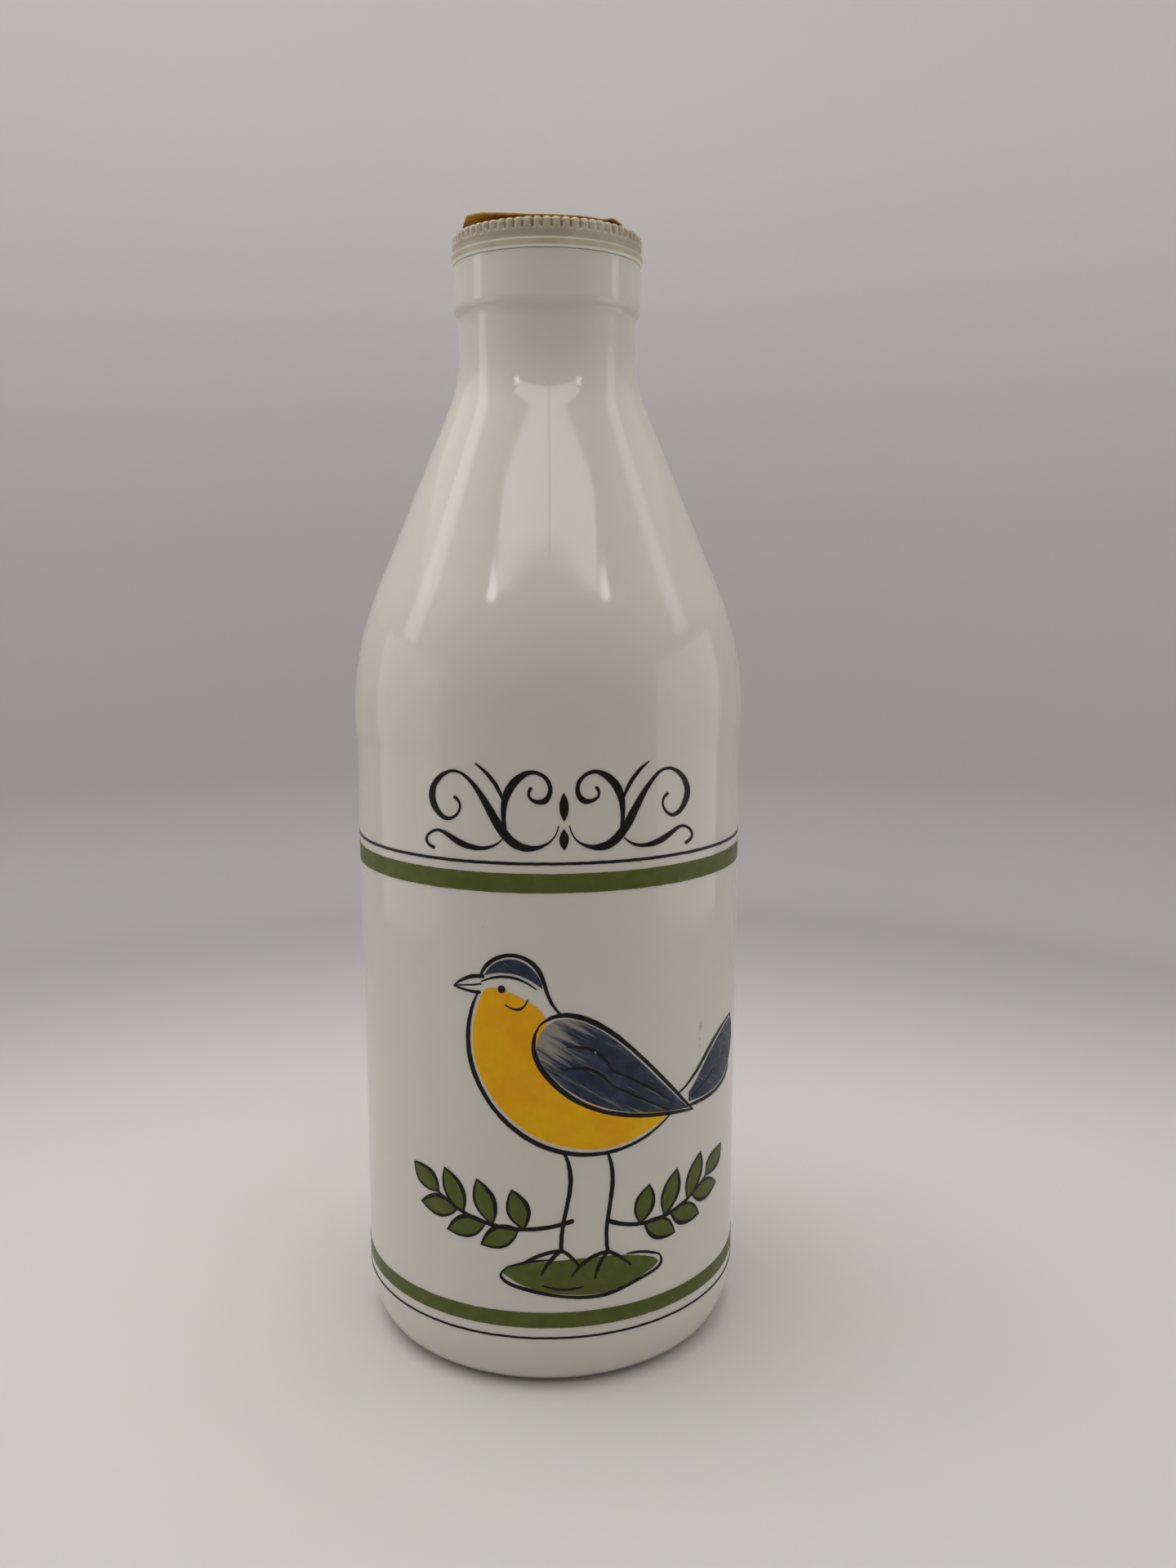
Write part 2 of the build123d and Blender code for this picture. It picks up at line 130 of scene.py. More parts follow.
# The film
FILM_R = 20.6 * MM
FILM_T = 0.35 * MM       # from the stopper to its upper skin
FILM_GAP = 0.02 * MM     # from the stopper to its lower skin
FILM_FLAT = 11.0 * MM    # from the axis to where it starts to lift
FILM_CURL_R = 25.0 * MM
FILM_HEADING = radians(-60)  # the way that it curls up
FILM_FREED = (radians(-100), radians(-60))  # held flat before the first, free after the second
FILM_TORN = ((radians(-78), 19.4 * MM), (radians(82), 17.9 * MM))  # each tear's heading and distance
FILM_RAGGED = 0.25 * MM
FILM_WAVE = 0.15 * MM    # how far its edge waves up
FILM_WAVE_SCALE = 260    # waves per metre
FILM_BUMP = 0.6 * MM     # a small lift of the edge at one place
FILM_BUMP_ANGLE = radians(44)
FILM_BUMP_WIDTH = 0.09   # radians
FILM_SIDES, FILM_ROWS = 240, 36

# Colours, and where the marks on them are
GLASS_COOL = (0.655, 0.636, 0.578)
GLASS_WARM = (0.665, 0.636, 0.56)
GLASS_SPECK = (0.12, 0.09, 0.06)
GLASS_SMUDGE = (0.16, 0.16, 0.165)
SEAM_X = 0.3 * MM        # the mould's dark line, and the heights that it starts and ends at
SEAM_HEIGHTS = (180.0 * MM, 221.0 * MM)
SEAM_FADES = (8.0 * MM, 4.0 * MM)
SMUDGE_AT = (38.0 * MM, 77.0 * MM)  # along the unrolled wall and up it
SMUDGE_SIZE = (0.9 * MM, 4.0 * MM)  # half its width and height
BLACK = (0.004, 0.0035, 0.003)
BLACK_LIGHT = (0.010, 0.009, 0.008)
GREEN = (0.078, 0.098, 0.014)
GREEN_LIGHT = (0.098, 0.122, 0.026)
YELLOW = (0.78, 0.39, 0.0)
YELLOW_LIGHT = (0.82, 0.46, 0.001)
YELLOW_DEEP = (0.76, 0.31, 0.0)
YELLOW_BURNT = (0.30, 0.10, 0.01)
BLUE = (0.018, 0.025, 0.048)
BLUE_LIGHT = (0.040, 0.052, 0.088)
BLUE_DRY = (0.36, 0.34, 0.29)
BRUSH_LEAN = radians(32)  # how far the brush strokes run down to the right
BRUSH_STRETCH = 14        # length of a streak over its width
BRUSH_START = (-2.0 * MM, 12.0 * MM)  # along the strokes, from where they are dry to where they are wet
WING_HEIGHT = 84.0 * MM   # where the wing's strokes start
WING_ABOVE = (5.0 * MM, 7.0 * MM)  # the dry start fades out between these heights over it
PLASTIC_PALE = (0.50, 0.455, 0.36)
PLASTIC_DARK = (0.42, 0.37, 0.275)
PLASTIC_DIRT = (0.22, 0.15, 0.06)
# painted highlight along the stopper band's lower edge
PLASTIC_RIM_HIGHLIGHT = (0.86, 0.83, 0.74)
FILM_AMBER = (0.56, 0.265, 0.019)
FILM_BROWN = (0.33, 0.16, 0.014)
FILM_GRAIN = (0.09, 0.045, 0.008)
STAGE_PALE = (0.70, 0.678, 0.664)
# painted shade of the back wall
STAGE_WALL_SHADE = (0.53, 0.512, 0.502)
# painted shade of the front wall, also the dark of the paper's faint mottle
FRONT_SHADE_AND_MOTTLE = (0.16, 0.156, 0.152)

# The stage, the lights and the camera
STAGE_R = 0.46           # further out than a camera that sees the whole bottle from any side
STAGE_BEND = 0.07
STAGE_HEIGHT = 0.80
STAGE_SIDES = 96
STAGE_FLOOR_BLEND = (0.13, 0.36)  # distances from the axis between which the floor turns grey with painted shade
STAGE_TOP_BLEND = (0.62, 0.95)    # distance and height together, between which painted light turns the wall pale
STAGE_BACK_BLEND = (-0.16, 0.02)  # y between which the painted grey shade starts
STAGE_FRONT_BLEND = (-0.08, -0.40)  # y between which painted shade darkens the front wall: the gloss reflects it
STAGE_FRONT_RISE = (0.02, 0.20)     # z between which it does
LIGHTS = {
    # name: place, target, width and height, watts
    "ceiling_front": ((0, -0.290, 0.515), (0, -0.290, 0.0), (0.480, 0.110), 0.35),
    "ceiling_back": ((0, -0.045, 0.515), (0, -0.045, 0.0), (0.480, 0.380), 0.14),
    "ceiling_left": ((-0.280, -0.330, 0.515), (0, -0.038, 0.170), (0.05, 0.045), 0.036),
    "ceiling_right": ((0.285, -0.322, 0.515), (0, -0.038, 0.170), (0.05, 0.045), 0.032),
    "left_window": ((-0.36, 0.0, 0.390), (0, 0, 0.20), (0.09, 0.26), 0.085),
    "right_window": ((0.36, -0.01, 0.405), (0, 0, 0.20), (0.08, 0.23), 0.055),
    "left_high": ((-0.33, 0.12, 0.48), (0, 0, 0.20), (0.30, 0.24), 0.12),
    "right_high": ((0.33, 0.12, 0.48), (0, 0, 0.20), (0.30, 0.24), 0.05),
    "left_wall": ((-0.36, -0.02, 0.13), (0, 0, 0.10), (0.34, 0.24), 0.13),
    "right_wall": ((0.36, -0.02, 0.13), (0, 0, 0.10), (0.34, 0.24), 0.15),
    "high": ((-0.10, 0.0, 0.78), (-0.10, 0.0, 0.0), (0.50, 0.40), 1.65),
}
WORLD_COLOUR = (1.0, 0.985, 0.96)
WORLD_STRENGTH = 0.60

CAMERA_LENS = 30.58
CAMERA_SENSOR = 36.0
CAMERA_AWAY = 315.8 * MM
CAMERA_HEIGHT = 178.3 * MM
CAMERA_PITCH = radians(8.79)
CAMERA_YAW = radians(1.68)


# ---------------------------------------------------------------- outlines and meshes


def rounded(corners, chord_turn=radians(4.0), longest=1.6 * MM):
    """Outline through corners (x, y, rounding), with an arc at each rounding and no long chords.

    The first and last corners have no rounding. An arc's chords turn by chord_turn at most.
    """
    points = [Vector(corners[0][:2])]
    for before, corner, after in zip(corners, corners[1:], corners[2:]):
        at = Vector(corner[:2])
        back = (Vector(before[:2]) - at).normalized()
        ahead = (Vector(after[:2]) - at).normalized()
        half = back.angle(ahead) / 2
        middle = at + (back + ahead).normalized() * corner[2] / sin(half)
        start = at + back * corner[2] / tan(half) - middle
        end = at + ahead * corner[2] / tan(half) - middle
        turn = pi - 2 * half
        if start.x * end.y - start.y * end.x < 0:
            turn = -turn
        count = max(3, ceil(abs(turn) / chord_turn), ceil(abs(turn) * corner[2] / longest))
        for i in range(count + 1):
            points.append(middle + Matrix.Rotation(turn * i / count, 2) @ start)
    points.append(Vector(corners[-1][:2]))
    split = [points[0]]
    for before, after in zip(points, points[1:]):
        count = max(1, ceil((after - before).length / longest - 1e-6))
        split += [before.lerp(after, (i + 1) / count) for i in range(count)]
    return split


def cone_corner(radius, wall):
    """Height where the shoulder's cone, set in by wall, would meet a cylinder of this radius."""
    return SHOULDER_CORNER + (CONTACT_R - wall / cos(SHOULDER_SLOPE) - radius) / tan(SHOULDER_SLOPE)


def bottle_corners():
    """The glass section, from the middle of the base outside to the middle of the base inside."""
    lower_tangent = HEEL_LOWER_R * tan((pi / 2 - HEEL_TURN) / 2)
    heel_run = HEEL_UPPER_R * tan(HEEL_TURN / 2) + lower_tangent + HEEL_FLAT
    inner_r = BODY_R - WALL
    return [
        (0, PUSH_UP),
        (HOLLOW_R, PUSH_UP, HOLLOW_BEND_R),
        (BASE_RING_R, 0, BASE_RING_BEND_R),
        (BODY_R - heel_run * sin(HEEL_TURN), 0, HEEL_LOWER_R),
        (BODY_R, heel_run * cos(HEEL_TURN), HEEL_UPPER_R),
        (BODY_R, PANEL_TOP, PANEL_BEND_R),
        (CONTACT_R, CONTACT_START, PANEL_BEND_R),
        (CONTACT_R, SHOULDER_CORNER, SHOULDER_R),
        (NECK_R, cone_corner(NECK_R, 0), NECK_BEND_R),
        (NECK_R, COLLAR_BOTTOM, COLLAR_BEND_R),
        (COLLAR_R, COLLAR_BOTTOM + COLLAR_STEP, COLLAR_BEND_R),
        (COLLAR_R, LIP_Z, LIP_R),
        (MOUTH_R, LIP_Z, LIP_INNER_R),
        (MOUTH_R, LIP_Z - MOUTH_DEPTH, THROAT_STEP),
        (THROAT_R, LIP_Z - MOUTH_DEPTH - THROAT_STEP, THROAT_STEP),
        (THROAT_R, cone_corner(THROAT_R, WALL), NECK_BEND_R + WALL),
        (inner_r, cone_corner(inner_r, WALL), SHOULDER_R - WALL),
        (inner_r, BASE_WALL, BASE_INNER_BEND_R),
        (0, BASE_WALL + PUSH_UP),
    ]


def ripple(angle, height):
    """How far blown glass stands off its true radius: long, shallow waves in the wall."""
    return sum(a * MM * sin(n * angle + k * height + start) for a, n, k, start in RIPPLES)


def bell(x):
    """1 at 0, falling smoothly to 0 by about 2."""
    return exp(-x * x)


def polar(angle, r, z):
    """The point at an angle round from the front, a radius and a height."""
    return (r * sin(angle), -r * cos(angle), z)


def new_piece(name, mesh, body, node):
    """A shown piece that rides on a body and stands for a CAD node."""
    piece = linked(name, mesh)
    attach(piece, body)
    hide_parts(node)
    return piece


def linked(name, data):
    """A new object in the scene."""
    made = bpy.data.objects.new(name, data)
    bpy.context.scene.collection.objects.link(made)
    return made


def finished(mesh, name):
    """The mesh data of a bmesh, facing outwards, and smooth but for its sharp edges."""
    bmesh.ops.recalc_face_normals(mesh, faces=mesh.faces)
    data = bpy.data.meshes.new(name)
    mesh.to_mesh(data)
    mesh.free()
    data.shade_smooth()
    data.set_sharp_from_angle(angle=radians(40))
    return data


def bridge(mesh, a, b):
    """Faces between two closed rings of as many vertices. One ring may be a single vertex, repeated."""
    for i in range(len(a)):
        j = (i + 1) % len(a)
        corners = list(dict.fromkeys((a[i], a[j], b[j], b[i])))
        if len(corners) > 2:
            mesh.faces.new(corners)


def lathe(name, outline, sides, shift=None):
    """A mesh turned about Z from an outline, closed wherever the outline meets the axis.

    shift(angle, x, z) gives the change of radius at a point of the outline.
    """
    mesh = bmesh.new()
    rings = []
    for x, z in outline:
        if x < 1e-7:
            rings.append([mesh.verts.new((0, 0, z))] * sides)
            continue
        ring = []
        for i in range(sides):
            angle = TURN * i / sides
            r = x + (shift(angle, x, z) if shift else 0)
            ring.append(mesh.verts.new(polar(angle, r, z)))
        rings.append(ring)
    for a, b in zip(rings, rings[1:]):
        bridge(mesh, a, b)
    return finished(mesh, name)


def slice_mesh(mesh, normal, point):
    """Cut every face that crosses a plane."""
    everything = list(mesh.verts) + list(mesh.edges) + list(mesh.faces)
    bmesh.ops.bisect_plane(mesh, geom=everything, dist=1e-7, plane_co=point, plane_no=normal)


def heights(node):
    """The lowest and highest z of a CAD node."""
    return [corner.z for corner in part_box(node)]


def fine_layer(node):
    """A CAD enamel layer cut finely enough to follow the glass, with slightly ragged edges."""
    mesh = bmesh.new()
    mesh.from_mesh(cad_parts[node].data)
    bmesh.ops.remove_doubles(mesh, verts=mesh.verts, dist=1e-6)
    angles = [atan2(v.co.x, -v.co.y) for v in mesh.verts]
    low, high = min(angles), max(angles)
    cut = LAYER_CELL / BODY_R
    for i in range(ceil(low / cut), int(high // cut) + 1):
        slice_mesh(mesh, (cos(i * cut), sin(i * cut), 0), (0, 0, 0))
    bottom, top = heights(node)
    for i in range(ceil(bottom / LAYER_CELL), int(top // LAYER_CELL) + 1):
        slice_mesh(mesh, (0, 0, 1), (0, 0, i * LAYER_CELL))
    for vert in mesh.verts:
        angle = atan2(vert.co.x, -vert.co.y)
        outer = vert.co.xy.length > BODY_R + ENAMEL / 2
        at = Vector((angle * BODY_R, 0, vert.co.z)) * RAGGED_SCALE
        drift = noise.noise_vector(at + Vector((0, 7.3, 0))) * RAGGED
        angle += drift.x / BODY_R
        height = vert.co.z + drift.z
        r = BODY_R + ripple(angle, height) + (ENAMEL if outer else -ENAMEL_ROOT)
        vert.co = polar(angle, r, height)
    return finished(mesh, node)


def band_mesh(node):
    """A ring of enamel between its CAD node's heights, with slightly uneven edges."""
    bottom, top = heights(node)
    mesh = bmesh.new()
    rows = max(2, ceil((top - bottom) / LAYER_CELL))
    outer, inner = [], []
    for i in range(BOTTLE_SIDES):
        angle = TURN * i / BOTTLE_SIDES
        round_trip = Vector((cos(angle), sin(angle), 0)) * BODY_R * RAGGED_SCALE
        low = bottom + noise.noise(round_trip + Vector((0, 0, bottom * RAGGED_SCALE))) * RAGGED
        high = top + noise.noise(round_trip + Vector((0, 0, top * RAGGED_SCALE))) * RAGGED
        for column, thick in ((outer, ENAMEL), (inner, -ENAMEL_ROOT)):
            verts = []
            for row in range(rows + 1):
                height = low + (high - low) * row / rows
                r = BODY_R + ripple(angle, height) + thick
                verts.append(mesh.verts.new(polar(angle, r, height)))
            column.append(verts)
    for i in range(BOTTLE_SIDES):
        j = (i + 1) % BOTTLE_SIDES
        for row in range(rows):
            mesh.faces.new((outer[i][row], outer[j][row], outer[j][row + 1], outer[i][row + 1]))
            mesh.faces.new((inner[i][row], inner[i][row + 1], inner[j][row + 1], inner[j][row]))
        mesh.faces.new((inner[i][0], inner[j][0], outer[j][0], outer[i][0]))
        mesh.faces.new((outer[i][-1], outer[j][-1], inner[j][-1], inner[i][-1]))
    return finished(mesh, node)


# ---------------------------------------------------------------- the pieces


def make_bottle():
    """The glass: the section turned about the axis, with the ripples and the seam of blown glass."""

    def shift(angle, x, z):
        if x < BASE_RING_R:
            return 0
        seam = 0
        if z > SHOULDER_CORNER:
            across = (angle + pi) % pi - MOULD_SEAM_ANGLE
            seam = MOULD_SEAM * bell(across * x / MOULD_SEAM_WIDTH)
        return ripple(angle, z) + seam

    mesh = lathe("bottle_glass", rounded(bottle_corners()), BOTTLE_SIDES, shift)
    return new_piece("bottle_glass", mesh, "bottle", "glass_bottle")


def make_stopper():
    """The stopper: ribbed rim, stepped band and hollow plug with two sealing beads."""
    beads = []
    for height in SEAL_HEIGHTS[::-1]:
        beads += [
            (PLUG_R, height + SEAL_HALF, 0.2 * MM),
            (SEAL_R, height, 0.3 * MM),
            (PLUG_R, height - SEAL_HALF, 0.2 * MM),
        ]
    taper_in, taper_up = PLUG_TAPER
    corners = [
        (0, CAP_TOP),
        (RIB_R, CAP_TOP, 0.8 * MM),
        (RIB_R, RIB_BOTTOM, 1.0 * MM),
        (WAIST_R, RIB_BOTTOM - 0.5 * MM, 1.0 * MM),
        (WAIST_R, BAND_TOP + BAND_RISE, 0.3 * MM),
        (CAP_R, BAND_TOP, 0.25 * MM),
        (CAP_R, LIP_Z + 0.05 * MM, 0.7 * MM),
        (PLUG_R, LIP_Z, 0.1 * MM),
        *beads,
        (PLUG_R, PLUG_BOTTOM + taper_up, 0.5 * MM),
        (PLUG_R - taper_in, PLUG_BOTTOM, 0.2 * MM),
        (PLUG_BORE_R, PLUG_BOTTOM, 0.2 * MM),
        (PLUG_BORE_R, CAP_TOP - CAP_THICK, 0.8 * MM),
        (0, CAP_TOP - CAP_THICK),
    ]

    def ribs(angle, x, z):
        if x < RIB_R - RIB_REACH or z < RIB_BOTTOM:
            return 0
        rise = min(1, (z - RIB_BOTTOM) / RIB_FADE)
        rib = round(RIB_COUNT * angle / TURN) % RIB_COUNT
        depth = RIB_DEPTH * (0.85 + 0.35 * noise.noise((rib * 3.7, 0.5, 0)))
        wander = 0.25 * noise.noise((rib * 1.9, 7.5, z / MM))
        crest = abs(cos(RIB_COUNT * angle / 2 + wander)) ** 0.8
        return -depth * rise * rise * (3 - 2 * rise) * (1 - crest)

    outline = rounded(corners, chord_turn=radians(12), longest=0.3 * MM)
    mesh = lathe("stopper_moulding", outline, RIB_COUNT * RIB_SIDES, ribs)
    return new_piece("stopper_moulding", mesh, "stopper", "stopper")


def film_radius(angle):
    """Edge of the brown film, by the angle round from the front: a chord torn off on each side."""
    r = FILM_R + FILM_RAGGED * noise.noise((4 * cos(angle), 4 * sin(angle), 0.5))
    for heading, away in FILM_TORN:
        towards = cos(angle - heading)
        if towards > 0:
            r = min(r, away / towards)
    return r


def film_lift(x, y):
    """Height of the film's underside over the stopper: flat, then curling up to its front left edge."""
    along = x * sin(FILM_HEADING) - y * cos(FILM_HEADING) - FILM_FLAT
    angle = atan2(x, -y)
    free = min(1, max(0, (angle - FILM_FREED[0]) / (FILM_FREED[1] - FILM_FREED[0])))
    lift = free * (FILM_CURL_R - (FILM_CURL_R**2 - max(0, along) ** 2) ** 0.5)
    edge = hypot(x, y) / FILM_R
    wave = noise.noise((x * FILM_WAVE_SCALE, y * FILM_WAVE_SCALE, 3.1)) * FILM_WAVE * edge**3
    bump = FILM_BUMP * bell((angle - FILM_BUMP_ANGLE) / FILM_BUMP_WIDTH) * edge**6
    return lift + max(0, wave) + bump


def make_film():
    """The brown film: a thin sheet in two skins, cut to its torn outline."""
    mesh = bmesh.new()
    skins = []
    for above in (FILM_GAP, FILM_T):
        centre = mesh.verts.new((0, 0, CAP_TOP + above))
        rings = [[centre] * FILM_SIDES]
        for row in range(1, FILM_ROWS + 1):
            ring = []
            for i in range(FILM_SIDES):
                angle = TURN * i / FILM_SIDES - pi
                r = film_radius(angle) * row / FILM_ROWS
                x, y, z = polar(angle, r, CAP_TOP + above)
                ring.append(mesh.verts.new((x, y, z + film_lift(x, y))))
            rings.append(ring)
        skins.append(rings)
    for rings in skins:
        for a, b in zip(rings, rings[1:]):
            bridge(mesh, a, b)
    bridge(mesh, skins[0][-1], skins[1][-1])
    mesh = finished(mesh, "brown_film")
    return new_piece("brown_film", mesh, "stopper", "top_disc")


def enamel_slot(node):
    for colour in ("green", "yellow", "blue"):
        if colour in node:
            return colour + "_enamel"
    return "black_enamel"


def make_print():
    """Every enamel layer, as {slot: pieces}."""
    layers = {}
    for node in BANDS + DRAWN:
        mesh = band_mesh(node) if node in BANDS else fine_layer(node)
        slot = enamel_slot(node)
        piece = new_piece("enamel_" + node, mesh, "bottle", node)
        layers.setdefault(slot, []).append(piece)
    return layers


# ---------------------------------------------------------------- materials


class Finish:
    """A material under construction: a Principled shader and short ways to feed it."""

    def __init__(self, name, **sockets):
        self.material = bpy.data.materials.new(name)
        self.material.use_nodes = True
        self.tree = self.material.node_tree
        self.shader = self.tree.nodes["Principled BSDF"]
        for socket, value in sockets.items():
            self.shader.inputs[socket.replace("_", " ")].default_value = value

    def add(self, kind, inputs=(), **settings):
        """A node with its settings, and inputs as (socket, value or output) pairs."""
        made = self.tree.nodes.new("ShaderNode" + kind)
        for setting, value in settings.items():
            setattr(made, setting, value)
        for socket, value in inputs:
            if isinstance(value, bpy.types.NodeSocket):
                self.tree.links.new(value, made.inputs[socket])
            else:
                made.inputs[socket].default_value = value
        return made

    def place(self):
        """Where a point is on the object, in metres, in the row frame."""
        return self.add("TexCoord").outputs["Object"]

    def parts(self, vector):
        """A vector's x, y and z."""
        return self.add("SeparateXYZ", [(0, vector)]).outputs

    def turned(self):
        """The angle round the bottle, and the height."""
        x, y, z = self.parts(self.place())
        return self.maths("ARCTAN2", x, self.maths("MULTIPLY", y, -1.0)), z

    def unrolled(self):
        """Where a point is on the unrolled wall: along it, zero, and height."""
        angle, z = self.turned()
        along = self.maths("MULTIPLY", angle, BODY_R)
        return self.add("CombineXYZ", [(0, along), (2, z)]).outputs[0]

    def maths(self, operation, a, b=0.0):
        return self.add("Math", [(0, a), (1, b)], operation=operation).outputs[0]

    def plus(self, a, b):
        return self.maths("ADD", a, b)

    def times(self, *factors):
        """The product of two or more values."""
        made = factors[0]
        for factor in factors[1:]:
            made = self.maths("MULTIPLY", made, factor)
        return made

    def distance(self, a, b):
        """How far apart two values are."""
        return self.maths("ABSOLUTE", self.maths("SUBTRACT", a, b))

    def noise(self, where, scale, detail=2.0, roughness=0.5, stretch=(1, 1, 1), seed=0.0):
        """Noise with this many waves per metre, stretched along the axes."""
        mapping = self.add("Mapping", [(0, where), ("Location", (seed, seed, seed)), ("Scale", stretch)])
        settings = [("Scale", scale), ("Detail", detail), ("Roughness", roughness)]
        return self.add("TexNoise", [("Vector", mapping.outputs[0]), *settings]).outputs[0]

    def between(self, value, low, high, out_low=0.0, out_high=1.0):
        """value from low to high, remapped smoothly to out_low to out_high, and held outside them."""
        made = self.add(
            "MapRange",
            [(0, value), (1, low), (2, high), (3, out_low), (4, out_high)],
            interpolation_type="SMOOTHSTEP",
        )
        return made.outputs[0]

    def mix(self, factor, a, b):
        """The colour a, turning into b as factor goes from 0 to 1."""
        made = self.add("Mix", data_type="RGBA")
        colours = [socket for socket in made.inputs if socket.type == "RGBA"]
        for socket, value in ((made.inputs[0], factor), (colours[0], a), (colours[1], b)):
            if isinstance(value, bpy.types.NodeSocket):
                self.tree.links.new(value, socket)
            else:
                socket.default_value = value if socket is made.inputs[0] else (*value, 1.0)
        return next(socket for socket in made.outputs if socket.type == "RGBA")

    def colour(self, value):
        self.tree.links.new(value, self.shader.inputs["Base Color"])

    def roughness(self, value):
        self.tree.links.new(value, self.shader.inputs["Roughness"])

    def bump(self, height, distance):
        made = self.add("Bump", [("Height", height), ("Distance", distance), ("Strength", 1.0)])
        self.tree.links.new(made.outputs[0], self.shader.inputs["Normal"])


def specks(finish, where, cells, size, seed):
    """1 inside rare round specks of about this size, in metres, with cells of them per metre."""
    mapping = finish.add("Mapping", [(0, where), ("Location", (seed, seed, seed))])
    cell = finish.add("TexVoronoi", [("Vector", mapping.outputs[0]), ("Scale", cells)])
    tint = finish.add("SeparateColor", [(0, cell.outputs["Color"])]).outputs[0]
    chosen = finish.maths("LESS_THAN", tint, 0.35)
    near = finish.between(cell.outputs["Distance"], size * cells, 0.4 * size * cells)
    return finish.times(near, chosen)


def opal_glass():
    """Milk-white glass: glossy, with the faint skin of a mould, rare dark specks and a grey smudge."""
    finish = Finish(
        "opal_glass", IOR=1.58,
        Subsurface_Weight=0.35, Subsurface_Radius=(1.0, 0.9, 0.75), Subsurface_Scale=4 * MM,
    )
    place = finish.place()
    cloud = finish.noise(place, 28, detail=3)
    glass = finish.mix(finish.between(cloud, 0.3, 0.7), GLASS_COOL, GLASS_WARM)
    dirt = specks(finish, place, cells=80, size=0.17 * MM, seed=0.13)
    glass = finish.mix(finish.times(dirt, 0.75), glass, GLASS_SPECK)
    glass = finish.mix(smudge(finish), glass, GLASS_SMUDGE)
    finish.colour(finish.mix(seam_shade(finish), glass, GLASS_SPECK))
    handled = finish.noise(place, 60, detail=6, roughness=0.65, seed=2.0)
    finish.roughness(finish.between(handled, 0.3, 0.75, 0.075, 0.14))
    skin = finish.noise(place, 600, detail=4, roughness=0.6)
    broad = finish.noise(place, 90, seed=6.0)
    finish.bump(finish.plus(finish.times(skin, 0.4), broad), 0.015 * MM)
    return finish.material


def seam_shade(finish):
    """The faint dark line of the mould's joint, up the front and the back of the shoulder."""
    x, _, z = finish.parts(finish.place())
    line = finish.between(finish.distance(x, SEAM_X), 0.50 * MM, 0.10 * MM)
    risen = finish.between(z, SEAM_HEIGHTS[0], SEAM_HEIGHTS[0] + SEAM_FADES[0])
    faded = finish.between(z, SEAM_HEIGHTS[1], SEAM_HEIGHTS[1] - SEAM_FADES[1])
    return finish.times(line, risen, faded, 0.16)


def smudge(finish):
    """A faint upright pencil-like mark on the wall, to the right of the picture."""
    along, _, height = finish.parts(finish.unrolled())
    beside = finish.between(finish.distance(along, SMUDGE_AT[0]), SMUDGE_SIZE[0], 0.0)
    level = finish.between(finish.distance(height, SMUDGE_AT[1]), SMUDGE_SIZE[1], 0.4 * SMUDGE_SIZE[1])
    broken = finish.between(finish.noise(finish.place(), 700, detail=3), 0.4, 0.65)
    return finish.times(beside, level, broken, 0.8)


def enamel(name, base, light, roughness, worn, paint=None):
    """Fired enamel: mottled between two colours, and worn through to the glass in places.

    The higher worn is, the fewer those places are. paint(finish, wall, colour) adds to the colour.
    """
    finish = Finish(name, IOR=1.5, Specular_IOR_Level=0.18)
    wall = finish.unrolled()
    mottle = finish.between(finish.noise(wall, 240, detail=4, roughness=0.6), 0.35, 0.7)
    colour = finish.mix(mottle, base, light)
    if paint:
        colour = paint(finish, wall, colour)
    thin = finish.noise(wall, 900, detail=5, roughness=0.7, seed=5.0)
    patch = finish.noise(wall, 60, detail=3, seed=9.0)
    gone = finish.between(finish.plus(thin, finish.times(patch, 0.45)), worn, worn + 0.06)
    finish.colour(finish.mix(gone, colour, GLASS_WARM))
    sheen = finish.noise(wall, 300, detail=4)
    finish.roughness(finish.between(sheen, 0.3, 0.7, roughness, roughness + 0.12))
    finish.bump(finish.noise(wall, 700, detail=4, roughness=0.6), 0.012 * MM)
    return finish.material


def brushed_blue(finish, wall, colour):
    """Streaks of a half-dry brush that run down to the right, palest where the brush started."""
    along, _, height = finish.parts(wall)
    run = finish.maths(
        "SUBTRACT",
        finish.times(along, cos(BRUSH_LEAN)),
        finish.times(finish.maths("SUBTRACT", height, WING_HEIGHT), sin(BRUSH_LEAN)),
    )
    # a texture mapping turns before it scales, so the streaks are long along the strokes
    leaning = [("Rotation", (0, BRUSH_LEAN, 0)), ("Scale", (BRUSH_STRETCH, 1, 1))]
    strokes = finish.add("Mapping", [(0, wall), *leaning], vector_type="TEXTURE").outputs[0]
    hairs = finish.noise(strokes, 1500, detail=4, roughness=0.6)
    broad = finish.noise(strokes, 420, detail=3, seed=3.0)
    both = finish.plus(finish.times(hairs, 0.6), finish.times(broad, 0.5))
    start = finish.between(run, BRUSH_START[1], BRUSH_START[0], 0.0, 0.22)
    on_wing = finish.between(height, WING_HEIGHT + WING_ABOVE[1], WING_HEIGHT + WING_ABOVE[0])
    pale = finish.between(finish.plus(both, finish.times(start, on_wing)), 0.58, 0.78)
    return finish.mix(finish.times(pale, 0.75), colour, BLUE_DRY)


def pooled_yellow(finish, wall, colour):
    """Deeper yellow in broad pools, and a few brown specks burnt into it."""
    pool = finish.between(finish.noise(wall, 55, detail=3, roughness=0.55, seed=1.0), 0.42, 0.68)
    colour = finish.mix(finish.times(pool, 0.6), colour, YELLOW_DEEP)
    burnt = specks(finish, wall, cells=130, size=0.35 * MM, seed=0.4)
    return finish.mix(finish.times(burnt, 0.8), colour, YELLOW_BURNT)


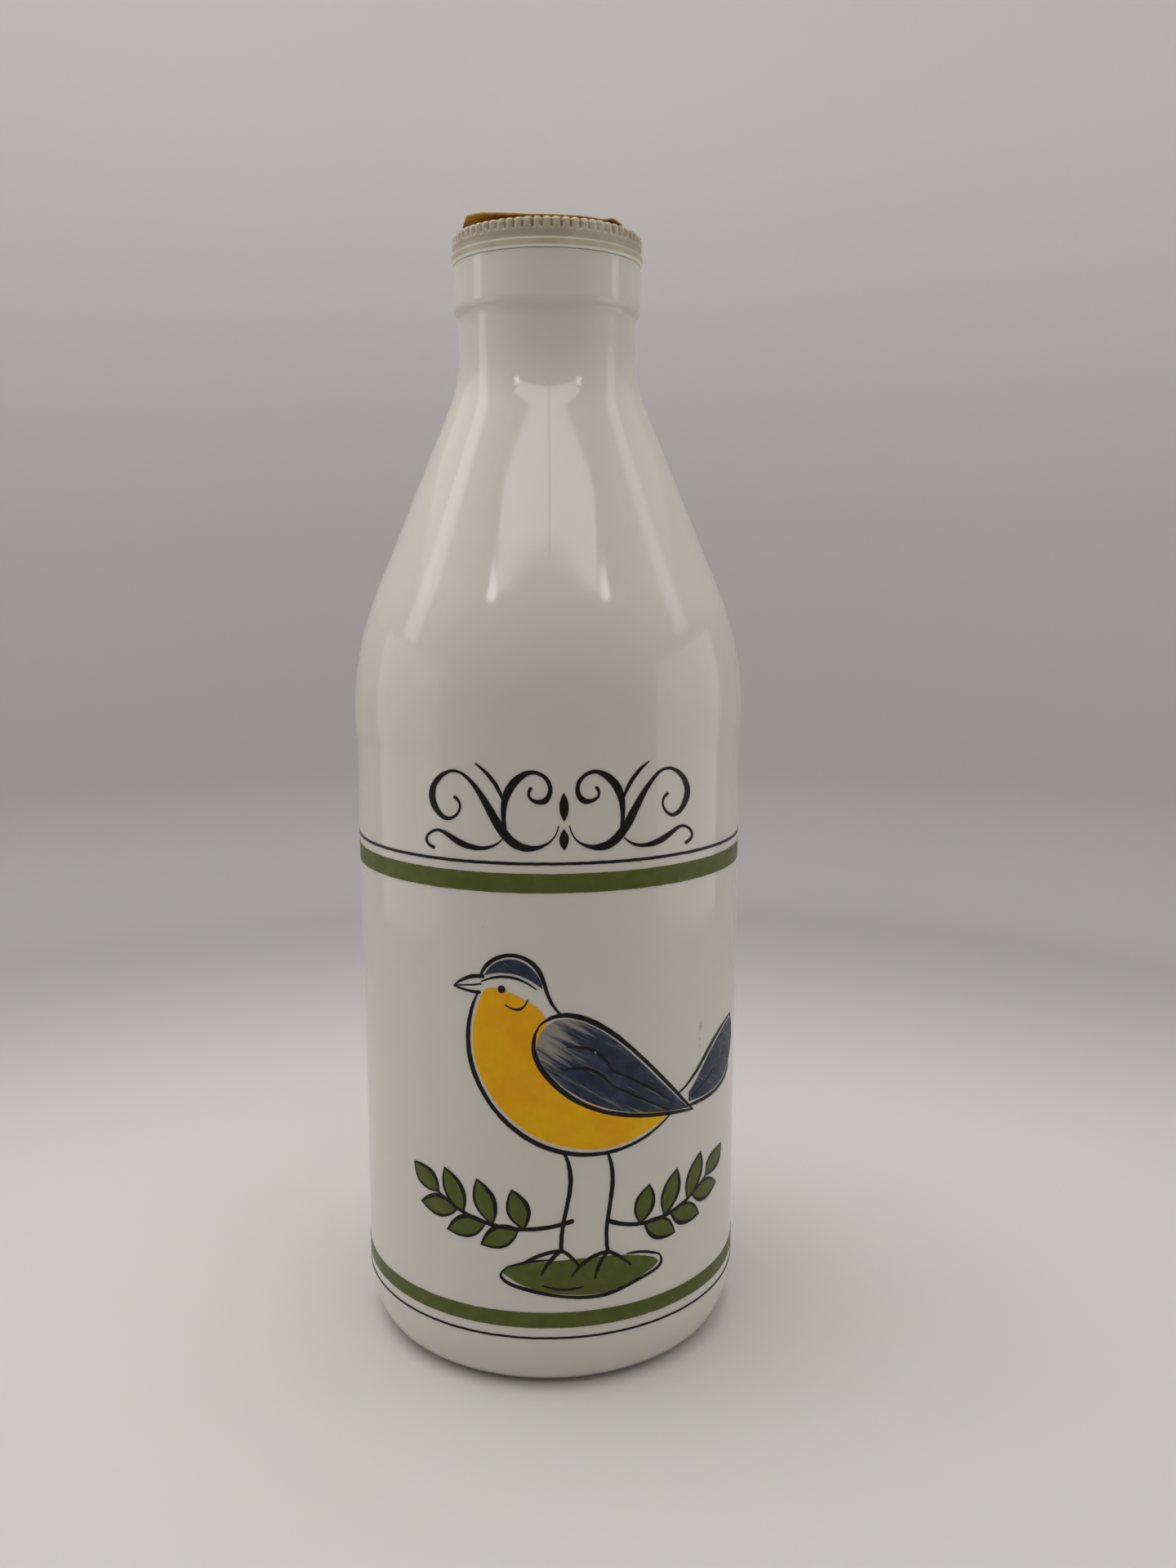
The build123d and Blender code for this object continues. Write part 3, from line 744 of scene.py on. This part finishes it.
def ivory_plastic():
    """Translucent polythene, with brown dirt in the valleys between its ribs and a painted highlight
    along its lower edge.
    """
    finish = Finish(
        "ivory_plastic", IOR=1.5,
        Subsurface_Weight=0.6, Subsurface_Radius=(1.0, 0.8, 0.5), Subsurface_Scale=2.5 * MM,
    )
    place = finish.place()
    angle, z = finish.turned()
    wave = finish.maths("ABSOLUTE", finish.maths("COSINE", finish.times(angle, RIB_COUNT / 2)))
    valley = finish.between(wave, 0.75, 0.15)
    ribbed = finish.between(z, RIB_BOTTOM - 0.2 * MM, RIB_BOTTOM + 0.8 * MM)
    patchy = finish.between(finish.noise(place, 180, detail=4, roughness=0.6), 0.42, 0.60, 0.05, 1.0)
    dirt = finish.times(valley, ribbed, patchy)
    cloud = finish.between(finish.noise(place, 70, detail=3), 0.35, 0.65)
    plastic = finish.mix(cloud, PLASTIC_PALE, PLASTIC_DARK)
    # painted highlight: the band turns pale along its lower edge, just above the glass lip
    edge = finish.between(z, LIP_Z + 0.75 * MM, LIP_Z + 0.2 * MM)
    plastic = finish.mix(edge, plastic, PLASTIC_RIM_HIGHLIGHT)
    finish.colour(finish.mix(finish.times(dirt, 0.75), plastic, PLASTIC_DIRT))
    rough = finish.between(finish.noise(place, 250, detail=4), 0.3, 0.7, 0.28, 0.45)
    finish.roughness(finish.maths("SUBTRACT", rough, finish.times(ribbed, 0.18)))
    fine = finish.times(finish.noise(place, 900, detail=3), 0.3)
    lumps = finish.times(finish.noise(place, 1300, seed=4.0), ribbed)
    finish.bump(finish.plus(fine, lumps), 0.20 * MM)
    return finish.material


def amber_film():
    """A thin amber brown film, with fine dark grain across it."""
    finish = Finish(
        "amber_film", IOR=1.46,
        Subsurface_Weight=0.2, Subsurface_Radius=(1.0, 0.7, 0.2), Subsurface_Scale=1.0 * MM,
    )
    place = finish.place()
    grain = finish.noise(place, 500, detail=5, roughness=0.65, stretch=(1, 0.12, 1))
    broad = finish.noise(place, 90, detail=3, seed=2.0)
    colour = finish.mix(finish.between(broad, 0.35, 0.65), FILM_AMBER, FILM_BROWN)
    finish.colour(finish.mix(finish.between(grain, 0.52, 0.7, 0, 0.6), colour, FILM_GRAIN))
    finish.roughness(finish.between(grain, 0.3, 0.7, 0.30, 0.5))
    finish.bump(grain, 0.05 * MM)
    return finish.material


def studio_paper():
    """The stage's paper: pale, with painted shade that greys it at the back, painted light that makes it
    pale again higher up, and painted shade that darkens the front wall.
    """
    finish = Finish("studio_paper", Specular_IOR_Level=0.1)
    place = finish.place()
    x, y, z = finish.parts(place)
    squares = finish.plus(finish.maths("POWER", x, 2.0), finish.maths("POWER", y, 2.0))
    away = finish.maths("POWER", squares, 0.5)
    # painted shade and painted light: grey behind the bottle, pale again high on the wall
    high = finish.between(finish.plus(away, z), *STAGE_TOP_BLEND)
    behind = finish.times(finish.between(away, *STAGE_FLOOR_BLEND), finish.between(y, *STAGE_BACK_BLEND))
    sheet = finish.mix(behind, STAGE_PALE, finish.mix(high, STAGE_WALL_SHADE, STAGE_PALE))
    # painted shade: the wall on the camera's side is dark
    front = finish.times(finish.between(y, *STAGE_FRONT_BLEND), finish.between(z, *STAGE_FRONT_RISE))
    sheet = finish.mix(front, sheet, FRONT_SHADE_AND_MOTTLE)
    mottle = finish.between(finish.noise(place, 3), 0.3, 0.7, 0.0, 0.03)
    finish.colour(finish.mix(mottle, sheet, FRONT_SHADE_AND_MOTTLE))
    finish.roughness(finish.between(finish.noise(place, 40, detail=4), 0.3, 0.7, 0.75, 0.9))
    return finish.material


# ---------------------------------------------------------------- stage, light and camera


def make_stage():
    """A round pale floor that sweeps up into a wall on every side."""
    corners = [(0, 0), (STAGE_R, 0, STAGE_BEND), (STAGE_R, STAGE_HEIGHT)]
    outline = rounded(corners, chord_turn=radians(6), longest=40 * MM)
    sweep = linked("sweep", lathe("sweep", outline, STAGE_SIDES))
    sweep.data.materials.append(studio_paper())


def soft_light(name, at, target, size, power):
    """A rectangular soft light that faces target, and isn't seen itself."""
    data = bpy.data.lights.new(name, "AREA")
    data.shape = "RECTANGLE"
    data.size, data.size_y = size
    data.energy = power
    light = linked(name, data)
    light.location = at
    light.rotation_euler = (Vector(target) - Vector(at)).to_track_quat("-Z", "Y").to_euler()
    light.visible_camera = False


def make_world():
    world = bpy.data.worlds.new("studio")
    world.use_nodes = True
    background = world.node_tree.nodes["Background"]
    background.inputs["Color"].default_value = (*WORLD_COLOUR, 1)
    background.inputs["Strength"].default_value = WORLD_STRENGTH
    bpy.context.scene.world = world


def make_camera():
    """The camera in front of the bottle, turned a little to the right and tilted down."""
    level = cos(CAMERA_PITCH)
    forward = Vector((sin(CAMERA_YAW) * level, cos(CAMERA_YAW) * level, -sin(CAMERA_PITCH)))
    data = bpy.data.cameras.new("camera")
    data.lens = CAMERA_LENS
    data.sensor_width = CAMERA_SENSOR
    data.clip_start = 10 * MM
    data.clip_end = 10
    camera = linked("camera", data)
    camera.location = (0, -CAMERA_AWAY, CAMERA_HEIGHT)
    camera.rotation_euler = forward.to_track_quat("-Z", "Y").to_euler()
    bpy.context.scene.camera = camera


bottle = make_bottle()
stopper = make_stopper()
film = make_film()
layers = make_print()

bottle.data.materials.append(opal_glass())
stopper.data.materials.append(ivory_plastic())
film.data.materials.append(amber_film())
enamels = {
    "black_enamel": enamel("black_enamel", BLACK, BLACK_LIGHT, 0.30, 0.93),
    "green_enamel": enamel("green_enamel", GREEN, GREEN_LIGHT, 0.30, 1.0),
    "yellow_enamel": enamel("yellow_enamel", YELLOW, YELLOW_LIGHT, 0.28, 1.0, pooled_yellow),
    "blue_enamel": enamel("blue_enamel", BLUE, BLUE_LIGHT, 0.32, 0.97, brushed_blue),
}
for slot, pieces in layers.items():
    for piece in pieces:
        piece.data.materials.append(enamels[slot])

make_stage()
make_world()
for name, settings in LIGHTS.items():
    soft_light(name, *settings)
make_camera()

bpy.context.scene.view_settings.view_transform = "Standard"
